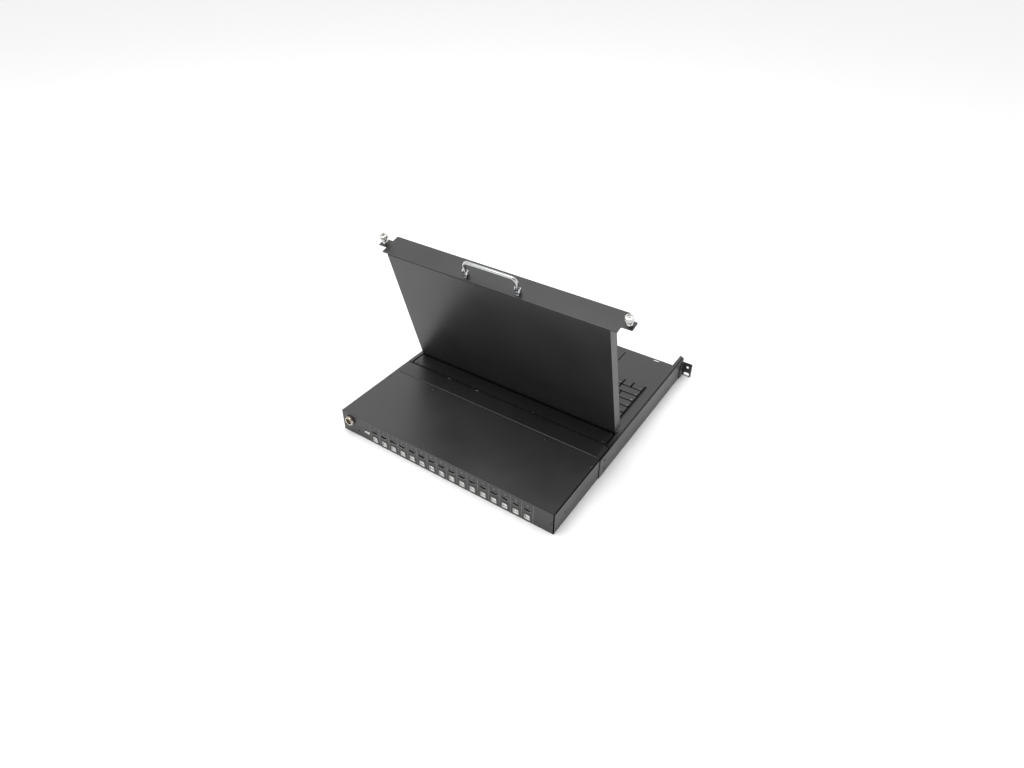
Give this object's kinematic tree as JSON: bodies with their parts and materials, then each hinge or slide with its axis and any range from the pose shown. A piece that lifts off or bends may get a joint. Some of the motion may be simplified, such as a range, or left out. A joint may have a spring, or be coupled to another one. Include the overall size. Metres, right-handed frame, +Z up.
{
  "type": "rackmount lcd console drawer",
  "caption": "One-unit rack drawer with a fold-up screen lid, keyboard and touchpad on telescopic slides, and a rear module of display and USB ports.",
  "frame": {"origin": "middle of the footprint on the surface that it rests on, at the underside", "axes": "+X to the user's right, +Y from the rack face to the rear ports, +Z up"},
  "size_m": [0.4826, 0.5032, 0.3249],
  "materials": {
    "black_coat": "matte powder coat",
    "screen_plastic": "fine matte",
    "slide_steel": "zinc plated",
    "screw_steel": "blackened",
    "board": "solder mask",
    "port_metal": "nickel plated",
    "port_black": "moulded",
    "port_white": "moulded",
    "socket_metal": "plated",
    "key_plastic": "matte keycap",
    "pad_plastic": "fine matte",
    "screen_panel": "anti-glare screen",
    "chrome": "polished",
    "thumb_steel": "nickel plated, knurled"
  },
  "bodies": {
    "frame": {"left_rail": "black_coat", "left_rack_ear": "black_coat", "left_slide_outer": "slide_steel", "right_rail": "black_coat", "right_rack_ear": "black_coat", "right_slide_outer": "slide_steel", "frame_screws": "screw_steel", "module_base": "black_coat", "module_board": "board", "module_rear_panel": "black_coat", "module_top_cover": "black_coat", "module_front_strip": "black_coat", "module_screws": "screw_steel", "hdmi_shells": "port_metal", "hdmi_tongues": "port_black", "usb_b_shells": "port_metal", "usb_b_inserts": "port_white", "usb_a_shell": "port_metal", "usb_a_tongue": "port_white", "power_socket_shell": "socket_metal", "power_socket_insert": "port_black", "power_socket_nut": "socket_metal"},
    "left_middle_member": {"left_slide_middle": "slide_steel"},
    "right_middle_member": {"right_slide_middle": "slide_steel"},
    "drawer": {"left_slide_inner": "slide_steel", "right_slide_inner": "slide_steel", "tray_pan": "black_coat", "deck_panel": "black_coat", "hinge_cover": "black_coat", "drawer_screws": "screw_steel", "keyboard_base": "screen_plastic", "touchpad_panel": "black_coat", "touchpad_pad": "pad_plastic", "left_hinge_bracket": "black_coat", "right_hinge_bracket": "black_coat"},
    "lid": {"lid_back_cover": "black_coat", "lid_screws": "screw_steel", "screen_frame": "screen_plastic", "lcd_panel": "screen_panel", "front_bezel": "black_coat", "handle_posts": "chrome", "thumbscrew_ferrules": "thumb_steel", "left_hinge_arm": "screw_steel", "right_hinge_arm": "screw_steel"},
    "handle": {"handle_bail": "chrome"},
    "left_thumbscrew_collar": {"left_thumbscrew_sleeve": "thumb_steel"},
    "left_thumbscrew": {"left_thumbscrew_knob": "thumb_steel"},
    "right_thumbscrew_collar": {"right_thumbscrew_sleeve": "thumb_steel"},
    "right_thumbscrew": {"right_thumbscrew_knob": "thumb_steel"},
    "key_row_1_keys": {"key_row_1": "key_plastic"},
    "key_row_2_keys": {"key_row_2": "key_plastic"},
    "key_row_3_keys": {"key_row_3": "key_plastic"},
    "key_row_4_keys": {"key_row_4": "key_plastic"},
    "key_row_5_keys": {"key_row_5": "key_plastic"},
    "key_row_6_keys": {"key_row_6": "key_plastic"},
    "pad_left_button": {"touchpad_left_button": "pad_plastic"},
    "pad_right_button": {"touchpad_right_button": "pad_plastic"},
    "menu_button_1": {"osd_button_1": "screen_plastic"},
    "menu_button_2": {"osd_button_2": "screen_plastic"},
    "menu_button_3": {"osd_button_3": "screen_plastic"}
  },
  "joints": [
    {"name": "drawer_slide", "type": "slide", "parent": "frame", "child": "drawer", "axis": [0, -1, 0], "range_m": [0, 0.29]},
    {"name": "left_middle_slide", "type": "slide", "parent": "frame", "child": "left_middle_member", "axis": [0, -1, 0], "range_m": [0, 0.145]},
    {"name": "right_middle_slide", "type": "slide", "parent": "frame", "child": "right_middle_member", "axis": [0, -1, 0], "range_m": [0, 0.145]},
    {"name": "lid_hinge", "type": "hinge", "parent": "drawer", "child": "lid", "pos_m": [0, 0.0165, 0.0332], "axis": [-1, 0, 0], "range_deg": [-105.33, 0]},
    {"name": "handle_fold", "type": "hinge", "parent": "lid", "child": "handle", "pos_m": [0, 0.09078, 0.30037], "axis": [1, 0, 0], "range_deg": [-90, 90]},
    {"name": "left_thumbscrew_press", "type": "slide", "parent": "lid", "child": "left_thumbscrew_collar", "axis": [0, -0.2644, -0.9644], "range_m": [0, 0.004], "stiffness_N_per_m": 500, "springref_m": -0.001},
    {"name": "left_thumbscrew_turn", "type": "hinge", "parent": "left_thumbscrew_collar", "child": "left_thumbscrew", "pos_m": [-0.23255, 0.07735, 0.29679], "axis": [0, 0.2644, 0.9644], "continuous": true},
    {"name": "right_thumbscrew_press", "type": "slide", "parent": "lid", "child": "right_thumbscrew_collar", "axis": [0, -0.2644, -0.9644], "range_m": [0, 0.004], "stiffness_N_per_m": 500, "springref_m": -0.001},
    {"name": "right_thumbscrew_turn", "type": "hinge", "parent": "right_thumbscrew_collar", "child": "right_thumbscrew", "pos_m": [0.23255, 0.07735, 0.29679], "axis": [0, 0.2644, 0.9644], "continuous": true},
    {"name": "key_row_1_press", "type": "slide", "parent": "drawer", "child": "key_row_1_keys", "axis": [0, 0, -1], "range_m": [0, 0.002], "stiffness_N_per_m": 600, "springref_m": -0.001},
    {"name": "key_row_2_press", "type": "slide", "parent": "drawer", "child": "key_row_2_keys", "axis": [0, 0, -1], "range_m": [0, 0.002], "stiffness_N_per_m": 600, "springref_m": -0.001},
    {"name": "key_row_3_press", "type": "slide", "parent": "drawer", "child": "key_row_3_keys", "axis": [0, 0, -1], "range_m": [0, 0.002], "stiffness_N_per_m": 600, "springref_m": -0.001},
    {"name": "key_row_4_press", "type": "slide", "parent": "drawer", "child": "key_row_4_keys", "axis": [0, 0, -1], "range_m": [0, 0.002], "stiffness_N_per_m": 600, "springref_m": -0.001},
    {"name": "key_row_5_press", "type": "slide", "parent": "drawer", "child": "key_row_5_keys", "axis": [0, 0, -1], "range_m": [0, 0.002], "stiffness_N_per_m": 600, "springref_m": -0.001},
    {"name": "key_row_6_press", "type": "slide", "parent": "drawer", "child": "key_row_6_keys", "axis": [0, 0, -1], "range_m": [0, 0.002], "stiffness_N_per_m": 600, "springref_m": -0.001},
    {"name": "touchpad_left_click", "type": "slide", "parent": "drawer", "child": "pad_left_button", "axis": [0, 0, -1], "range_m": [0, 0.0007], "stiffness_N_per_m": 500, "springref_m": -0.0005},
    {"name": "touchpad_right_click", "type": "slide", "parent": "drawer", "child": "pad_right_button", "axis": [0, 0, -1], "range_m": [0, 0.0007], "stiffness_N_per_m": 500, "springref_m": -0.0005},
    {"name": "menu_button_1_press", "type": "slide", "parent": "lid", "child": "menu_button_1", "axis": [0, 0.9644, -0.2644], "range_m": [0, 0.0005], "stiffness_N_per_m": 400, "springref_m": -0.0005},
    {"name": "menu_button_2_press", "type": "slide", "parent": "lid", "child": "menu_button_2", "axis": [0, 0.9644, -0.2644], "range_m": [0, 0.0005], "stiffness_N_per_m": 400, "springref_m": -0.0005},
    {"name": "menu_button_3_press", "type": "slide", "parent": "lid", "child": "menu_button_3", "axis": [0, 0.9644, -0.2644], "range_m": [0, 0.0005], "stiffness_N_per_m": 400, "springref_m": -0.0005}
  ],
  "couplings": [
    {"joint": "left_middle_slide", "follows": "drawer_slide", "ratio": 0.5},
    {"joint": "right_middle_slide", "follows": "drawer_slide", "ratio": 0.5}
  ]
}
